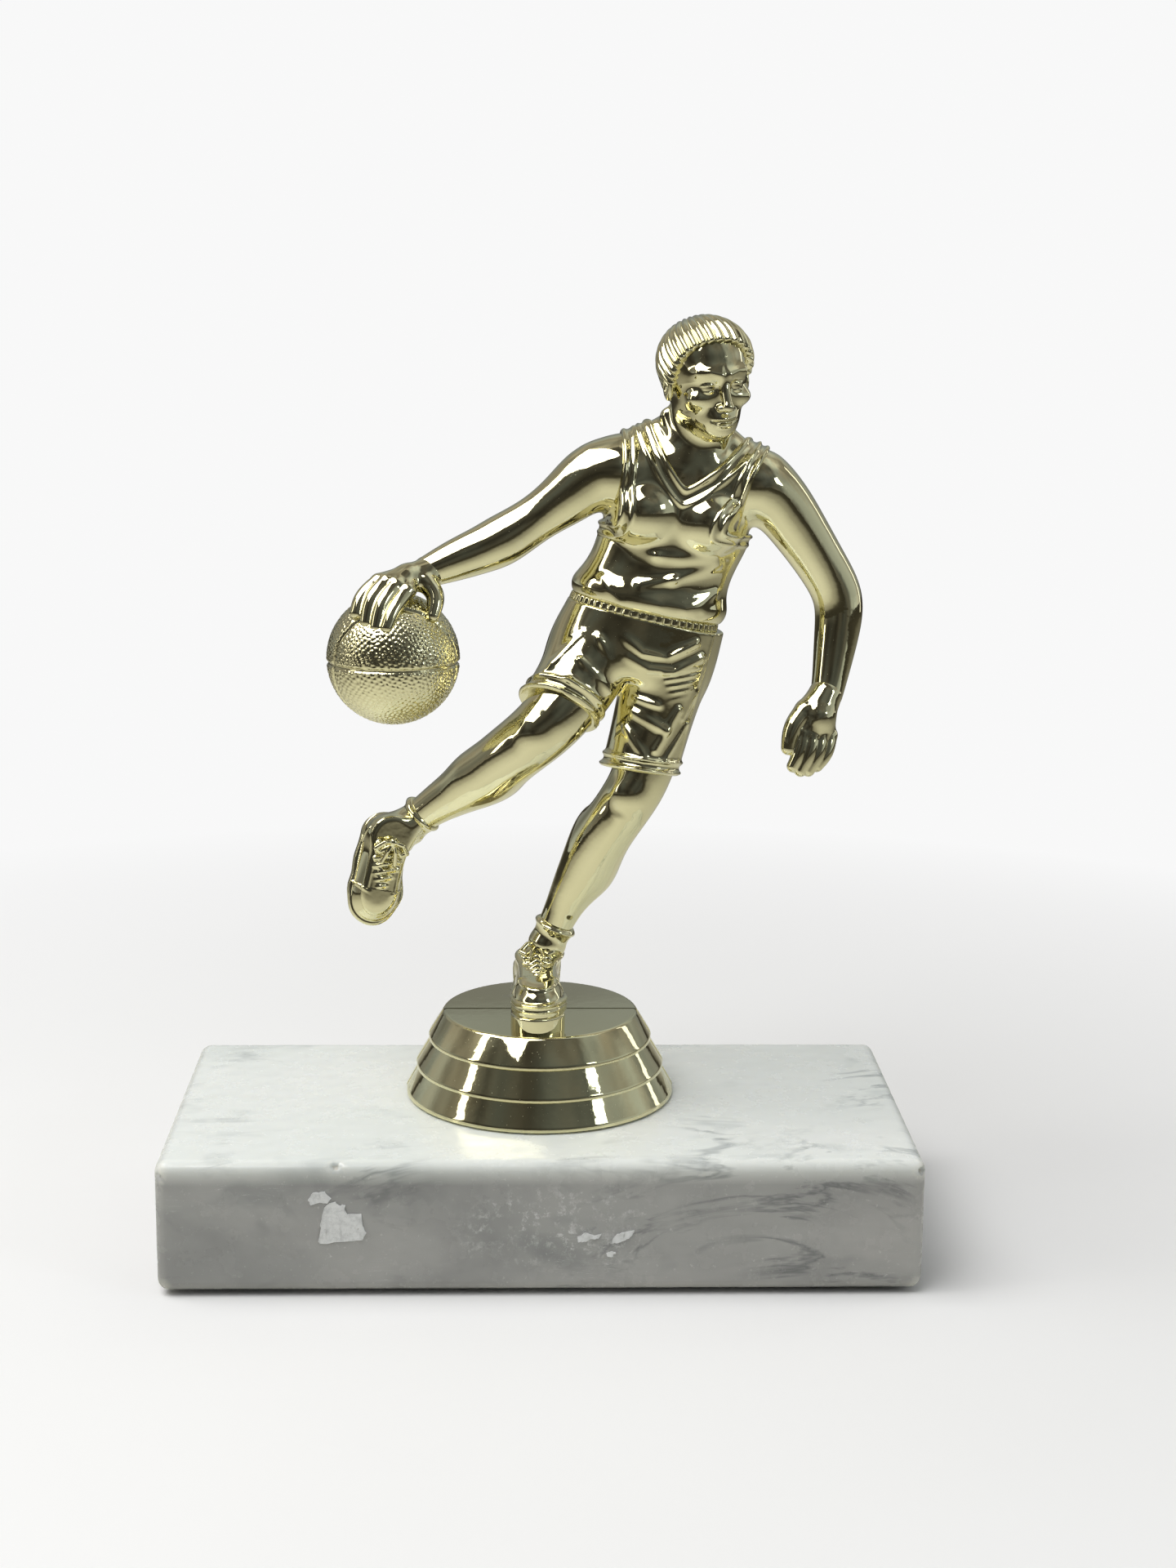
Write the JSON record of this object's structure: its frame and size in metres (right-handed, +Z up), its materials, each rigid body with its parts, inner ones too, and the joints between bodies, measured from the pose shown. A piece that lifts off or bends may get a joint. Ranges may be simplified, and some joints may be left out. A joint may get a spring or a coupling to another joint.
{
  "type": "sports trophy",
  "caption": "Mirror-finished figure of a dribbling basketball player on a round stepped riser, bolted to a rectangular marble block.",
  "frame": {"origin": "middle of the trophy's footprint, on the surface that its foot pads stand on", "axes": "+Z up, +Y towards the back, so the player and the block's nameplate face look along -Y; +X to the right as seen from the front"},
  "size_m": [0.127, 0.0636, 0.1597],
  "materials": {
    "plated_plastic": "vacuum-metallised gold, mirror bright",
    "marble": "polished, white with grey veins",
    "zinc_steel": "bright zinc plate",
    "felt": "green felt",
    "nylon": "natural"
  },
  "bodies": {
    "base": {"marble_block": "marble", "foot_pad_front_left": "felt", "foot_pad_front_right": "felt", "foot_pad_back_left": "felt", "foot_pad_back_right": "felt"},
    "figure": {"riser": "plated_plastic", "shoe_pad": "plated_plastic", "left_shoe": "plated_plastic", "right_shoe": "plated_plastic", "left_sock": "plated_plastic", "right_sock": "plated_plastic", "left_leg": "plated_plastic", "right_leg": "plated_plastic", "shorts": "plated_plastic", "waistband": "plated_plastic", "shirt": "plated_plastic", "head": "plated_plastic", "hair": "plated_plastic", "left_arm": "plated_plastic", "right_arm": "plated_plastic", "left_hand": "plated_plastic", "right_hand": "plated_plastic", "basketball": "plated_plastic", "captive_nut": "zinc_steel", "nut_retaining_ring": "nylon", "clamp_bolt": "zinc_steel", "lock_washer": "zinc_steel", "flat_washer": "zinc_steel"}
  },
  "joints": [
    {"name": "figure_swivel", "type": "hinge", "parent": "base", "child": "figure", "pos_m": [0, 0.005, 0.0234], "axis": [0, 0, 1], "continuous": true}
  ]
}
